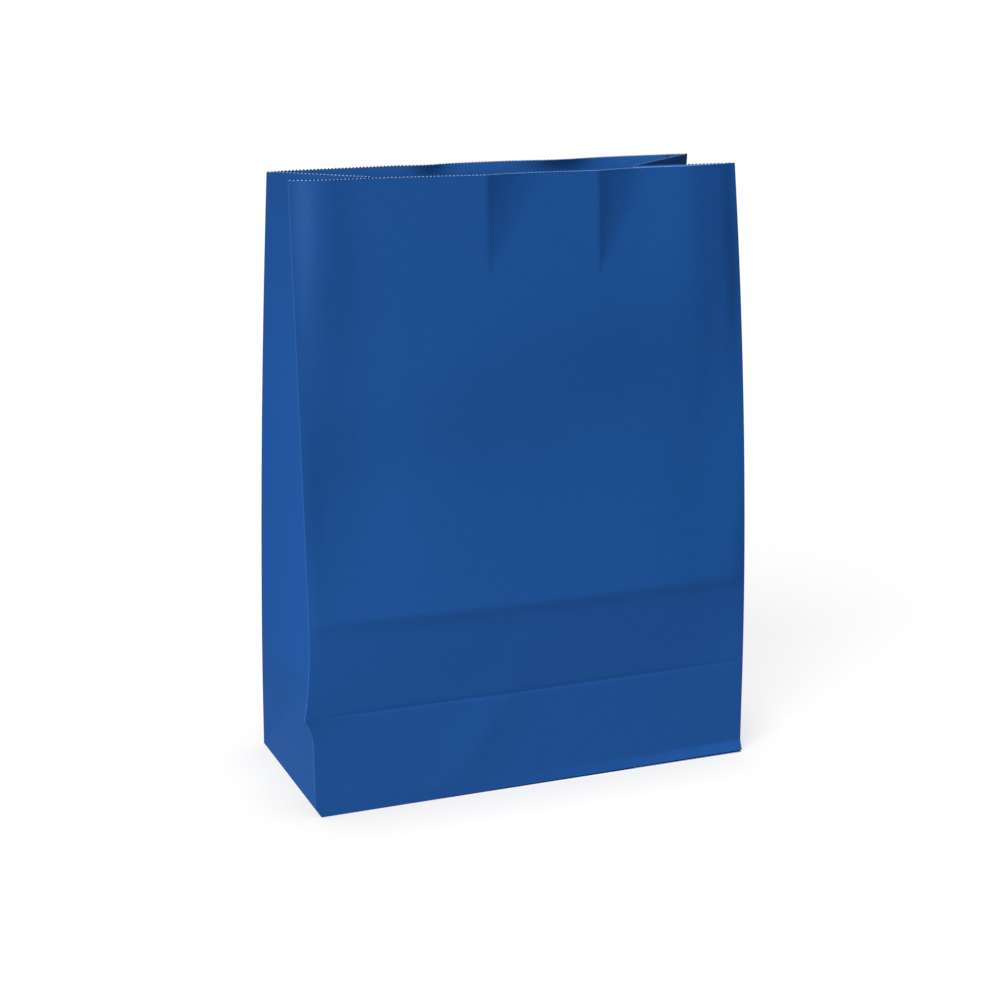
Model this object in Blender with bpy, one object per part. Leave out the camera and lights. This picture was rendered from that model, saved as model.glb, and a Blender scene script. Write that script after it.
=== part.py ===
"""Paper carrier bag without handles: one sheet of paper folded and glued into a block-bottom bag.

It stands open. Two wide panels lean in towards a narrow mouth, the two side gussets fold inwards as
they rise, and the bottom is made of end flaps with two overlapping flaps folded under them.
Metres, +Z up, front panel towards -Y, origin at the bottom centre of the bounding box.
"""

import math
from dataclasses import dataclass
from functools import lru_cache

import bmesh
import bpy

# Sheet sizes
PANEL_WIDTH = 0.264  # front and back panel, fold to fold
GUSSET_WIDTH = 0.120  # side gusset, fold to fold
PANEL_HEIGHT = 0.3476  # along the paper, from the bottom fold to the cut rim
PAPER = 0.00014  # one ply

# Pinked edge, left by the toothed knife that cuts the tube
TOOTH_PITCH = 0.0021
TOOTH_DEPTH = 0.0008
RIM_BAND = 0.0012  # plain paper under the teeth, down to the first row of the wall

# Bottom
BOTTOM_LAP = 0.020  # overlap of the front and back bottom flaps
CORNER_TUCK = 0.0016  # how far the most drawn in bottom corner stands inside the panel's full width
FOOT_LENGTH = 0.0065  # sloping lip round the bottom, along the paper
FLAP_INSET = 0.0004  # from the bottom folds to the flaps' own outline
LEDGE = 0.0010  # fold left standing round the inside of the floor
FLAP_BITE = 0.00004  # how far the flaps under the floor run into the ply above, so that they join
CUTTER_RISE = 0.0004  # how far the recess cutters stand above the floor's underside

# Upright folds and panels
PANEL_BOW = 0.0051  # how far the middle of the front panel stands proud of its folds at the rim
FOOT_BOW = 0.0012  # and just above the foot
BACK_BOW = 0.0030
CREASE_DIP = 0.0026  # the front panel dips in at the crease left by folding the bag flat
PRESSED_LINE = 0.1106  # height of the line pressed across the walls by the edge of the folded bottom
PINCH_OUT = 0.0015  # the front left fold is pinched outwards where the crease meets it
PINCH_IN = 0.0040
PINCH_REACH = 0.0120
PINCH_SPREAD = 0.0300  # across the front panel

# Two soft upright ridges in the front panel below the rim
RIDGE_PLACES = (-0.0250, 0.0360)  # from the middle of the panel
RIDGE_RISE = 0.0045
RIDGE_HALF_WIDTH = 0.0140
RIDGE_LENGTH = 0.0560

# Glued seam up the back panel
SEAM_LAP = 0.0126
SEAM_EDGE = 0.00005  # run of the step at the seam's free edge

# Mesh steps
PANEL_STEP = 0.0126
GUSSET_COLUMNS = 4  # in each half of a gusset, so that the diagonal folds meet grid points
ROW_STEP = 0.0220
RIM_ROW_STEP = 0.0150
CLIMB_STEP = 0.0040  # length of paper taken at a time when working out heights

# Limits of the folding sums
LEAST_RISE = 0.5  # a step up the paper gains at least this share of its length in height
STEEPEST_TILT = 0.9  # sine of the gusset triangle's tilt
LEAST_MITRE = 0.05

# Worked out
FOLD_HEIGHT = GUSSET_WIDTH / 2  # crease round the front and sides, where the flat bag's bottom turns up
FLAP_REACH = (GUSSET_WIDTH + BOTTOM_LAP) / 2  # from a bottom fold to the free edge of its flap
FLOOR_UNDERSIDE = 2 * PAPER  # the front and back flaps lie under the end flaps


@dataclass(frozen=True)
class UprightFold:
    """Fold between a wide panel and a gusset, leaning in from its bottom corner to the mouth."""

    side: int  # -1 left, 1 right
    face: int  # -1 front, 1 back
    setback: float  # how far it stands behind its bottom corner, just above the foot
    mouth: float  # from the bag's middle plane at the rim
    start: float  # share of the height at which the lean begins
    power: float  # 1 is a straight lean, more is a later one
    tuck: float  # its bottom corner is drawn in by this much
    draw_in: float  # above the foot it stands this far inside the panel's full width
    sway: float = 0.0  # and by this much more at the rim


FRONT_LEFT = UprightFold(
    side=-1, face=-1, setback=0.0, mouth=0.0377, start=0.02, power=1.31, tuck=0.0015, draw_in=-0.002
)
FRONT_RIGHT = UprightFold(
    side=1, face=-1, setback=0.003, mouth=0.0293, start=0.14, power=1.89, tuck=CORNER_TUCK, draw_in=0.0012
)
BACK_LEFT = UprightFold(
    side=-1,
    face=1,
    setback=0.0009,
    mouth=0.0195,
    start=0.01,
    power=1.71,
    tuck=CORNER_TUCK,
    draw_in=0.0014,
    sway=0.001,
)
BACK_RIGHT = UprightFold(
    side=1,
    face=1,
    setback=0.0045,
    mouth=0.0365,
    start=0.15,
    power=1.40,
    tuck=0.001,
    draw_in=0.001,
    sway=-0.0025,
)


def clear_scene():
    """Remove whatever the file opened with."""
    for item in list(bpy.data.objects):
        bpy.data.objects.remove(item, do_unlink=True)


def peak(distance, reach):
    """1 at no distance, falling in a straight line to 0 at the reach."""
    return max(0.0, 1.0 - abs(distance) / reach)


def foot_share(s):
    """0 at the bottom fold, 1 above the foot."""
    return min(1.0, s / FOOT_LENGTH)


def foot_loss(fold, s):
    """Height that the sloping foot of a fold costs, up to a length s along the paper."""
    level = math.sqrt(max(1.0 - (fold.setback / FOOT_LENGTH) ** 2, LEAST_RISE**2))
    return min(s, FOOT_LENGTH) * (1.0 - level)


def leaning_depth(fold, s, foot):
    """Depth of an upright fold under its lean alone, for a foot share of the setback."""
    lean = max(0.0, (s / PANEL_HEIGHT - fold.start) / (1.0 - fold.start)) ** fold.power
    return GUSSET_WIDTH / 2 - fold.setback * foot - (GUSSET_WIDTH / 2 - fold.setback - fold.mouth) * lean


def pinch(fold, s):
    """How far the pinch moves an upright fold at height s, as x, y, z."""
    share = peak(s - FOLD_HEIGHT, PINCH_REACH) if fold is FRONT_LEFT else 0.0
    return (fold.side * PINCH_OUT * share, -fold.face * PINCH_IN * share, 0.0)


def fold_reach(fold, s):
    """Distance of an upright fold from the bag's left-right middle at height s."""
    foot = foot_share(s)
    drawn = fold.draw_in * foot + fold.tuck * (1.0 - foot) + fold.sway * s / PANEL_HEIGHT
    return PANEL_WIDTH / 2 - drawn


def climb(path, s):
    """Height reached by a length s of paper, where path gives its other two coordinates at any length."""
    steps = max(1, round(s / CLIMB_STEP))
    length = s / steps
    height, last = 0.0, path(0.0)
    for i in range(1, steps + 1):
        place = path(length * i)
        run = math.hypot(place[0] - last[0], place[1] - last[1])
        height += math.sqrt(max(length**2 - run**2, (LEAST_RISE * length) ** 2))
        last = place
    return height


@lru_cache(maxsize=None)
def plain_point(fold, s):
    """Point of an upright fold without its pinch, as x, y, z."""
    x = fold.side * fold_reach(fold, s)
    y = fold.face * leaning_depth(fold, s, foot_share(s))
    return (x, y, climb(lambda t: (0.0, leaning_depth(fold, t, 1.0)), s) - foot_loss(fold, s))


def fold_point(fold, s):
    """Point of an upright fold, as x, y, z."""
    return tuple(p + q for p, q in zip(plain_point(fold, s), pinch(fold, s)))


def gusset_push(front, back, s):
    """How far the middle of a gusset stands inside its folds, and its y, at height s."""
    ahead, behind = leaning_depth(front, s, 1.0), leaning_depth(back, s, 1.0)
    push = math.sqrt(max((GUSSET_WIDTH / 2) ** 2 - ((ahead + behind) / 2) ** 2, 0.0))
    return push, (behind - ahead) / 2


@lru_cache(maxsize=None)
def gusset_middle(front, back, s):
    """Point of the gusset's middle fold at height s."""
    knee_push, knee_y = gusset_push(front, back, FOLD_HEIGHT)
    tilt = math.asin(min(knee_push / FOLD_HEIGHT, STEEPEST_TILT))
    side = front.side
    if s <= FOLD_HEIGHT:
        share = s / FOLD_HEIGHT
        outside = side * (PANEL_WIDTH / 2 - (front.tuck + back.tuck) / 2)
        return (outside - side * s * math.sin(tilt), knee_y * share, s * math.cos(tilt))
    push, y = gusset_push(front, back, s)
    outside = (fold_reach(front, s) + fold_reach(back, s)) / 2
    rise = climb(lambda t: gusset_push(front, back, FOLD_HEIGHT + t), s - FOLD_HEIGHT)
    return (side * (outside - push), y, FOLD_HEIGHT * math.cos(tilt) + rise)


def mix(a, b, share):
    """Point part of the way from a to b."""
    return tuple(p + (q - p) * share for p, q in zip(a, b))


def gusset_point(fold, front, back, share, s):
    """Point of a gusset half: share 0 is the upright fold, 1 the gusset's middle."""
    middle = gusset_middle(front, back, s)
    across = share * GUSSET_WIDTH / 2
    if s >= FOLD_HEIGHT:
        return mix(fold_point(fold, s), middle, share)
    # Below the knee a flat triangle stands on the bottom fold, between two diagonal folds.
    corner_x = middle[0] + fold.side * ((front.tuck + back.tuck) / 2 - fold.tuck)
    corner = (corner_x, fold.face * (GUSSET_WIDTH / 2), middle[2])
    if across >= s:
        return mix(corner, middle, share)
    diagonal = mix(corner, middle, s / (GUSSET_WIDTH / 2))
    return mix(fold_point(fold, s), diagonal, across / s)


def crease_dip(s):
    """Inward dip of the front panel, deepest at the crease and gone at the bottom and the pressed line."""
    if s <= FOLD_HEIGHT:
        return CREASE_DIP * s / FOLD_HEIGHT
    return CREASE_DIP * peak(s - FOLD_HEIGHT, PRESSED_LINE - FOLD_HEIGHT)


def panel_point(left, right, share, s):
    """Point of a wide panel: share 0 is its left fold and 1 its right fold."""
    x, y, z = mix(plain_point(left, s), plain_point(right, s), share)
    arch = 4.0 * share * (1.0 - share)
    front = left.face < 0
    bow = FOOT_BOW + (PANEL_BOW - FOOT_BOW) * (s / PANEL_HEIGHT) ** 2 if front else BACK_BOW
    out = bow * foot_share(s) * arch
    if front:
        near = peak(share * PANEL_WIDTH, PINCH_SPREAD)
        x, y = x + pinch(left, s)[0] * near, y + pinch(left, s)[1] * near
        out -= crease_dip(s) * arch
        along = (share - 0.5) * PANEL_WIDTH
        fade = peak(s - PANEL_HEIGHT, RIDGE_LENGTH)
        out += sum(RIDGE_RISE * fade * peak(along - place, RIDGE_HALF_WIDTH) for place in RIDGE_PLACES)
    return (x, y + left.face * out, z)


@dataclass
class Column:
    """One upright grid line of the wall."""

    point: object  # gives x, y, z at a height s
    teeth: int  # pinking teeth between this column and the next
    falling: bool = False  # the diagonal fold runs down from here to the next column
    raised: bool = False  # on the outer ply of the glued seam


def evenly(total, step):
    """Whole-number marks from 0 to total, about step apart."""
    count = max(1, round(total / step))
    return sorted({round(total * i / count) for i in range(count + 1)})


def run_of(point_at, marks, total, falling=False):
    """Columns of one run of wall at the given tooth marks, without its last mark."""
    columns = []
    for mark, following in zip(marks, marks[1:]):
        share = mark / total
        columns.append(Column(lambda s, share=share: point_at(share, s), following - mark, falling))
    return columns


def gusset_columns(first, last, marks, total):
    """Columns of a gusset, from its first upright fold round to the last."""
    front, back = (first, last) if first.face < 0 else (last, first)
    rising = run_of(lambda v, s: gusset_point(first, front, back, v, s), marks, total)
    falling = run_of(lambda v, s: gusset_point(last, front, back, 1 - v, s), marks, total, falling=True)
    return rising + falling


def wall_columns():
    """Grid lines round the bag, anticlockwise from the front left fold."""
    wide = round(PANEL_WIDTH / TOOTH_PITCH)
    half = GUSSET_COLUMNS * max(1, round(GUSSET_WIDTH / 2 / TOOTH_PITCH / GUSSET_COLUMNS))
    quarter = half // GUSSET_COLUMNS
    gusset_marks = [quarter * i for i in range(GUSSET_COLUMNS + 1)]

    front_marks = set(evenly(wide, PANEL_STEP / TOOTH_PITCH))
    spread = max(1, round(RIDGE_HALF_WIDTH / TOOTH_PITCH / 2))
    for place in RIDGE_PLACES:
        centre = round((place / PANEL_WIDTH + 0.5) * wide)
        front_marks |= {centre + spread * i for i in (-2, -1, 0, 1, 2)}
    front_marks = sorted(mark for mark in front_marks if 0 <= mark <= wide)

    def front(share, s):
        return panel_point(FRONT_LEFT, FRONT_RIGHT, share, s)

    def back(share, s):
        return panel_point(BACK_LEFT, BACK_RIGHT, 1.0 - share, s)

    columns = run_of(front, front_marks, wide)
    columns += gusset_columns(FRONT_RIGHT, BACK_RIGHT, gusset_marks, half)

    seam = max(1, round(SEAM_LAP / TOOTH_PITCH))
    even_marks = evenly(wide, PANEL_STEP / TOOTH_PITCH)
    back_marks = sorted({seam} | {mark for mark in even_marks if not 0 < mark <= seam})
    back_run = run_of(back, back_marks, wide)
    back_run[0].raised = True
    raised_share = seam / wide - SEAM_EDGE / PANEL_WIDTH
    back_run.insert(1, Column(lambda s: back(raised_share, s), 0, raised=True))
    return columns + back_run + gusset_columns(BACK_LEFT, FRONT_LEFT, gusset_marks, half)


def row_heights():
    """Heights along the paper of the wall's grid rows, from the bottom fold to just under the teeth."""
    top = PANEL_HEIGHT - TOOTH_DEPTH - RIM_BAND
    rows = [0.0, FOOT_LENGTH]
    rows += [FOLD_HEIGHT * i / GUSSET_COLUMNS for i in range(1, GUSSET_COLUMNS + 1)]
    fine_from = PANEL_HEIGHT - RIDGE_LENGTH
    for low, high, step in (
        (FOLD_HEIGHT, PRESSED_LINE, ROW_STEP),
        (PRESSED_LINE, fine_from, ROW_STEP),
        (fine_from, top, RIM_ROW_STEP),
    ):
        count = max(1, round((high - low) / step))
        rows += [low + (high - low) * i / count for i in range(1, count + 1)]
    return rows


def mitred_inwards(loop, distance):
    """The loop's points moved inwards in plan, so that both neighbouring walls keep their thickness."""
    moved = []
    for i, here in enumerate(loop):
        before, after = loop[i - 1], loop[(i + 1) % len(loop)]
        normals = []
        for a, b in ((before, here), (here, after)):
            length = math.hypot(b[0] - a[0], b[1] - a[1])
            normals.append(((b[1] - a[1]) / length, (a[0] - b[0]) / length))
        (ax, ay), (bx, by) = normals
        scale = distance / max(1.0 + ax * bx + ay * by, LEAST_MITRE)
        moved.append((here[0] - (ax + bx) * scale, here[1] - (ay + by) * scale, here[2]))
    return moved


def section(columns, s):
    """Outer and inner loop of the wall at height s along the paper."""
    sheet = [column.point(s) for column in columns]
    lifted = mitred_inwards(sheet, -PAPER)
    raise_seam = s >= FOOT_LENGTH
    outer = [
        lift if column.raised and raise_seam else plain for column, plain, lift in zip(columns, sheet, lifted)
    ]
    inner = mitred_inwards(sheet, PAPER)
    outer = [(x, y, z + FLOOR_UNDERSIDE) for x, y, z in outer]
    rise = FLOOR_UNDERSIDE + (PAPER if s == 0.0 else 0.0)
    return outer, [(x, y, z + rise) for x, y, z in inner]


def add_walls(mesh, columns):
    """Outer and inner faces of the wall, row by row. Returns the vertex rows of each side."""
    outer_rows, inner_rows = [], []
    for s in row_heights():
        outer, inner = section(columns, s)
        outer_rows.append([mesh.verts.new(point) for point in outer])
        inner_rows.append([mesh.verts.new(point) for point in inner])
    count = len(columns)
    for rows, outward in ((outer_rows, True), (inner_rows, False)):
        for low, high in zip(rows, rows[1:]):
            for i in range(count):
                j = (i + 1) % count
                if columns[i].falling:
                    halves = ((low[i], low[j], high[i]), (low[j], high[j], high[i]))
                else:
                    halves = ((low[i], low[j], high[j]), (low[i], high[j], high[i]))
                for half in halves:
                    mesh.faces.new(half if outward else half[::-1])
    return outer_rows, inner_rows


def pinked_line(low_loop, high_loop, columns):
    """Points of the toothed edge, one list for each column's stretch of wall, without its last point."""
    stretches = []
    for i, column in enumerate(columns):
        j = (i + 1) % len(columns)
        stretch = [low_loop[i]]
        for k in range(1, 2 * column.teeth):
            ends = (high_loop[i], high_loop[j]) if k % 2 else (low_loop[i], low_loop[j])
            stretch.append(mix(*ends, k / (2 * column.teeth)))
        stretches.append(stretch)
    return stretches


def add_teeth(mesh, columns, outer_row, inner_row):
    """Band of pinking teeth along the rim, on both faces, and the cut edge between them."""
    low = section(columns, PANEL_HEIGHT - TOOTH_DEPTH)
    high = section(columns, PANEL_HEIGHT)
    lines = []
    for side, row in ((0, outer_row), (1, inner_row)):
        stretches = pinked_line(low[side], high[side], columns)
        made = [[mesh.verts.new(point) for point in stretch] for stretch in stretches]
        for i, stretch in enumerate(made):
            j = (i + 1) % len(columns)
            band = [row[i], row[j], made[j][0]] + stretch[::-1]
            mesh.faces.new(band if side == 0 else band[::-1])
        lines.append([vert for stretch in made for vert in stretch])
    outer, inner = lines
    for i in range(len(outer)):
        j = (i + 1) % len(outer)
        mesh.faces.new((outer[i], outer[j], inner[j], inner[i]))


def pinked_run(start, end):
    """Toothed cut line in plan from start to end, with its teeth to the right of the way it runs."""
    length = math.dist(start, end)
    teeth = max(1, round(length / TOOTH_PITCH))
    along = ((end[0] - start[0]) / length, (end[1] - start[1]) / length)
    points = []
    for k in range(2 * teeth + 1):
        out = TOOTH_DEPTH if k % 2 else 0.0
        far = length * k / (2 * teeth)
        x = start[0] + along[0] * far + along[1] * out
        y = start[1] + along[1] * far - along[0] * out
        points.append((x, y))
    return points


def prism(name, outline, low, high):
    """Closed plate with an outline in plan, given anticlockwise, between two heights."""
    shape = bmesh.new()
    bottom = [shape.verts.new((x, y, low)) for x, y in outline]
    top = [shape.verts.new((x, y, high)) for x, y in outline]
    shape.faces.new(bottom[::-1])
    shape.faces.new(top)
    for i in range(len(outline)):
        j = (i + 1) % len(outline)
        shape.faces.new((bottom[i], bottom[j], top[j], top[i]))
    return finished_object(name, shape)


def finished_object(name, shape):
    """Object made from a bmesh."""
    data = bpy.data.meshes.new(name)
    shape.to_mesh(data)
    shape.free()
    made = bpy.data.objects.new(name, data)
    bpy.context.scene.collection.objects.link(made)
    return made


def bottom_flap(name, face, low, high):
    """Front or back bottom flap: a trapezoid with mitred ends and a pinked free edge past the middle."""
    half = PANEL_WIDTH / 2 - CORNER_TUCK - FLAP_INSET
    fold = GUSSET_WIDTH / 2 - FLAP_INSET
    free = FLAP_REACH - FLAP_INSET
    short = half - free
    edge = pinked_run((-short, fold - free), (short, fold - free))
    outline = [(half, fold), (-half, fold)] + edge
    if face < 0:
        outline = [(-x, -y) for x, y in outline]
    return prism(name, outline, low, high)


def floor_recesses():
    """Cutters for the floor's inside: a ply down between the end flaps, two in front of the back flap."""
    side = PANEL_WIDTH / 2 - CORNER_TUCK - FLAP_REACH
    wall = GUSSET_WIDTH / 2 - PAPER - LEDGE
    between = pinked_run((side, -wall), (side, wall)) + pinked_run((-side, wall), (-side, -wall))
    lap_side, lap = side - LEDGE, -BOTTOM_LAP / 2
    ahead = [(-lap_side, -wall + LEDGE), (lap_side, -wall + LEDGE)]
    ahead += pinked_run((lap_side, lap), (-lap_side, lap))
    top = FLOOR_UNDERSIDE + CUTTER_RISE
    return (
        prism("recess_between_end_flaps", between, FLOOR_UNDERSIDE, top),
        prism("recess_before_back_flap", ahead, PAPER, top + PAPER),
    )


def apply_boolean(body, other, operation):
    """Cut or join another solid, which stays in the scene as a hidden guide."""
    modifier = body.modifiers.new(other.name, "BOOLEAN")
    modifier.operation = operation
    modifier.object = other
    modifier.solver = "EXACT"
    other.hide_render = True
    other.display_type = "WIRE"


def blue_paper():
    """Smooth blue paper, blue right through both faces."""
    material = bpy.data.materials.new("blue_paper")
    material.use_nodes = True
    shader = material.node_tree.nodes["Principled BSDF"]
    shader.inputs["Base Color"].default_value = (0.012, 0.085, 0.33, 1.0)
    shader.inputs["Roughness"].default_value = 0.5
    shader.inputs["Metallic"].default_value = 0.0
    return material


def centre_in_plan(shape):
    """Move the walls so that the bounding box is centred on the origin. Returns the move."""
    middle = []
    for axis in (0, 1):
        values = [vert.co[axis] for vert in shape.verts]
        middle.append((min(values) + max(values)) / 2)
    for vert in shape.verts:
        vert.co.x -= middle[0]
        vert.co.y -= middle[1]
    return middle


def build_bag():
    """The whole bag as one solid."""
    columns = wall_columns()
    shape = bmesh.new()
    outer_rows, inner_rows = add_walls(shape, columns)
    add_teeth(shape, columns, outer_rows[-1], inner_rows[-1])
    shape.faces.new(outer_rows[0][::-1])
    shape.faces.new(inner_rows[0])
    moved = centre_in_plan(shape)
    body = finished_object("bag_body", shape)
    body.data.materials.append(blue_paper())

    flaps = (
        bottom_flap("front_bottom_flap", -1, 0.0, FLOOR_UNDERSIDE + FLAP_BITE),
        bottom_flap("back_bottom_flap", 1, PAPER, FLOOR_UNDERSIDE + 2 * FLAP_BITE),
    )
    for operation, helpers in (("UNION", flaps), ("DIFFERENCE", floor_recesses())):
        for helper in helpers:
            helper.location = (-moved[0], -moved[1], 0.0)
            apply_boolean(body, helper, operation)
    return body


clear_scene()
build_bag()
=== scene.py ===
"""Dresses a blue block-bottom paper bag: folded sheet, pinked rim, bottom flaps, floor, lamp and camera."""

import logging
import math
from dataclasses import dataclass, field
from enum import Enum

import bmesh
import bpy
import numpy as np
from mathutils import Matrix, Vector


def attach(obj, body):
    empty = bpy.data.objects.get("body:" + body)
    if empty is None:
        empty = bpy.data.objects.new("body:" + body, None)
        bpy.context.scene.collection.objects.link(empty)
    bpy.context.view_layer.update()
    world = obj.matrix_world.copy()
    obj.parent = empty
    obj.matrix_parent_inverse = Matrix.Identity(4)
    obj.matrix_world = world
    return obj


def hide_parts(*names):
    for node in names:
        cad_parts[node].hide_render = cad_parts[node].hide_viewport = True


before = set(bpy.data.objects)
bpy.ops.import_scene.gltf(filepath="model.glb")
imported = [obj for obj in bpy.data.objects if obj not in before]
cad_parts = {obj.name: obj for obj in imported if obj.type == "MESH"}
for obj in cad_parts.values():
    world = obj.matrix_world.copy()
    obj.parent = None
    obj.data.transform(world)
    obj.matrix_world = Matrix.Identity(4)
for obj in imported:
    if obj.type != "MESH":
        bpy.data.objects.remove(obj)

LOG = logging.getLogger("paper_bag")
MM = 0.001
NODE = "bag_body"
WHITE = (1.0, 1.0, 1.0, 1.0)
NODE_SPACING = 220
DECIMALS = 7
TINY = 1e-9
LEAST_SHARE = 1e-6
Plan = tuple[float, float]


class Side(Enum):
    """Which end of the wide panels an upright fold is at."""

    LEFT = -1
    RIGHT = 1


class Face(Enum):
    """Which wide panel a thing belongs to."""

    FRONT = -1
    BACK = 1


class Zone(Enum):
    """Material slots of the sheet, in order."""

    OUTSIDE = 0
    INSIDE = 1
    CUT = 2


def smooth(value: np.ndarray | float) -> np.ndarray | float:
    """Ease from 0 to 1 as the value goes from 0 to 1."""
    held = np.clip(value, 0.0, 1.0)
    return held * held * (3.0 - 2.0 * held)


def peak(distance: np.ndarray | float, reach: float) -> np.ndarray | float:
    """Straight-sided peak: 1 at no distance, 0 from the reach on."""
    return np.maximum(0.0, 1.0 - np.abs(distance) / reach)


def bell(distance: np.ndarray | float, width: float) -> np.ndarray | float:
    """Rounded peak whose height has fallen to 0.6 at the width."""
    return np.exp(-0.5 * (distance / width) ** 2)


class NodeTree:
    """Small helper that adds linked nodes to a node tree."""

    def __init__(self, tree: bpy.types.NodeTree) -> None:
        """Take the tree to build in."""
        self.tree = tree
        self.count = 0

    def add(self, kind: str, inputs: dict | None = None, **settings) -> bpy.types.Node:
        """Add a node.

        Args:
            kind: Blender's name for the node type.
            inputs: socket name or number to a value, or to an output socket to link from.
            settings: properties of the node itself.

        Returns:
            The new node.
        """
        node = self.tree.nodes.new(kind)
        node.location = (NODE_SPACING * self.count, 0)
        self.count += 1
        for name, value in settings.items():
            setattr(node, name, value)
        for name, value in (inputs or {}).items():
            if isinstance(value, bpy.types.NodeSocket):
                self.tree.links.new(value, node.inputs[name])
            else:
                node.inputs[name].default_value = value
        return node

    def math(self, operation: str, *values: float | bpy.types.NodeSocket) -> bpy.types.NodeSocket:
        """Add a maths node.

        Args:
            operation: Blender's name for what it does.
            values: its inputs in order, each a number or an output socket.

        Returns:
            The node's output socket.
        """
        return self.add("ShaderNodeMath", dict(enumerate(values)), operation=operation).outputs[0]

    def join(self, start: bpy.types.NodeSocket, end: bpy.types.NodeSocket) -> None:
        """Link one socket to another."""
        self.tree.links.new(start, end)


def cleared(owner: bpy.types.Material | bpy.types.World) -> NodeTree:
    """The node tree of a new material or world, with nothing in it."""
    owner.use_nodes = True
    owner.node_tree.nodes.clear()
    return NodeTree(owner.node_tree)


@dataclass(frozen=True)
class PaperGrain:
    """Shader group that every paper finish uses: fibres, mottling and the dents of the drying felt."""

    name: str = "paper_grain"
    fibre_stretch: tuple[float, float, float] = (1.0, 1.0, 0.45)
    fibres: tuple[float, float, float] = (900.0, 3.0, 0.6)
    mottle: tuple[float, float, float] = (140.0, 2.0, 0.5)
    clouds: tuple[float, float, float] = (16.0, 1.0, 0.4)
    cloud_share: float = 0.5
    noise_middle: float = 1.25
    bump_height: float = 0.04 * MM

    def noise(
        self, make: NodeTree, place: bpy.types.NodeSocket, sizes: tuple[float, float, float]
    ) -> bpy.types.NodeSocket:
        """Add a noise texture.

        Args:
            make: the tree to add it to.
            place: coordinates to read it at.
            sizes: its scale, detail and roughness.

        Returns:
            The noise's value.
        """
        scale, detail, roughness = sizes
        inputs = {"Vector": place, "Scale": scale, "Detail": detail, "Roughness": roughness}
        return make.add("ShaderNodeTexNoise", inputs).outputs["Fac"]

    def build(self) -> bpy.types.NodeTree:
        """Make the group.

        Returns:
            Node group with inputs Tone, Spread, Roughness, Roughness spread and Relief, and outputs Color,
            Roughness and Normal.
        """
        group = bpy.data.node_groups.new(self.name, "ShaderNodeTree")
        face = group.interface
        face.new_socket("Tone", in_out="INPUT", socket_type="NodeSocketColor")
        for label in ("Spread", "Roughness", "Roughness spread", "Relief"):
            face.new_socket(label, in_out="INPUT", socket_type="NodeSocketFloat")
        face.new_socket("Color", in_out="OUTPUT", socket_type="NodeSocketColor")
        face.new_socket("Roughness", in_out="OUTPUT", socket_type="NodeSocketFloat")
        face.new_socket("Normal", in_out="OUTPUT", socket_type="NodeSocketVector")

        make = NodeTree(group)
        given = make.add("NodeGroupInput")
        place = make.add("ShaderNodeTexCoord").outputs["Object"]
        drawn_out = make.add("ShaderNodeMapping", {"Vector": place, "Scale": self.fibre_stretch})
        fibres = self.noise(make, drawn_out.outputs["Vector"], self.fibres)
        mottle = self.noise(make, place, self.mottle)
        clouds = self.noise(make, place, self.clouds)
        fine = make.math("ADD", fibres, mottle)
        both = make.math("MULTIPLY_ADD", clouds, self.cloud_share, fine)
        centred = make.math("SUBTRACT", both, self.noise_middle)
        swing = make.math("MULTIPLY_ADD", centred, given.outputs["Spread"], 1.0)
        tone = make.add(
            "ShaderNodeVectorMath", {0: given.outputs["Tone"], "Scale": swing}, operation="SCALE"
        )
        rough = make.math(
            "MULTIPLY_ADD", centred, given.outputs["Roughness spread"], given.outputs["Roughness"]
        )
        bump = make.add(
            "ShaderNodeBump",
            {"Height": fine, "Strength": given.outputs["Relief"], "Distance": self.bump_height},
        )
        out = make.add("NodeGroupOutput")
        make.join(tone.outputs[0], out.inputs["Color"])
        make.join(rough, out.inputs["Roughness"])
        make.join(bump.outputs["Normal"], out.inputs["Normal"])
        return group


@dataclass(frozen=True)
class PaperFinish:
    """One finish of the paper: its colour, gloss and relief."""

    name: str
    tone: tuple[float, float, float]
    spread: float
    roughness: float
    relief: float
    roughness_spread: float = 0.06
    specular: float = 0.3
    # Lighter tone along the folds: partly fold wear, partly a painted highlight.
    worn_and_highlight: tuple[float, float, float] | None = None

    def build(self, grain: bpy.types.NodeTree) -> bpy.types.Material:
        """Make the material.

        Args:
            grain: the shared paper grain group.

        Returns:
            Material with its own Principled shader. Where worn_and_highlight is given, it shows along the
            folds: partly paper wear, partly a painted highlight of the folds catching the lamp.
        """
        material = bpy.data.materials.new(self.name)
        make = cleared(material)
        group = make.add("ShaderNodeGroup", node_tree=grain)
        group.inputs["Tone"].default_value = (*self.tone, 1.0)
        group.inputs["Spread"].default_value = self.spread
        group.inputs["Roughness"].default_value = self.roughness
        group.inputs["Roughness spread"].default_value = self.roughness_spread
        group.inputs["Relief"].default_value = self.relief
        colour = group.outputs["Color"]
        if self.worn_and_highlight:
            # Lighter colour along the upright folds: partly real fold wear, partly a painted highlight where
            # the folds catch the lamp.
            mask = make.add("ShaderNodeAttribute", attribute_name="fold_wear")
            mixed = make.add(
                "ShaderNodeMix",
                {0: mask.outputs["Fac"], "A": colour, "B": (*self.worn_and_highlight, 1.0)},
                data_type="RGBA",
            )
            colour = mixed.outputs["Result"]
        shader = make.add(
            "ShaderNodeBsdfPrincipled",
            {
                "Base Color": colour,
                "Roughness": group.outputs["Roughness"],
                "Normal": group.outputs["Normal"],
            },
        )
        shader.inputs["Metallic"].default_value = 0.0
        shader.inputs["Specular IOR Level"].default_value = self.specular
        out = make.add("ShaderNodeOutputMaterial")
        make.join(shader.outputs["BSDF"], out.inputs["Surface"])
        return material


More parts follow.
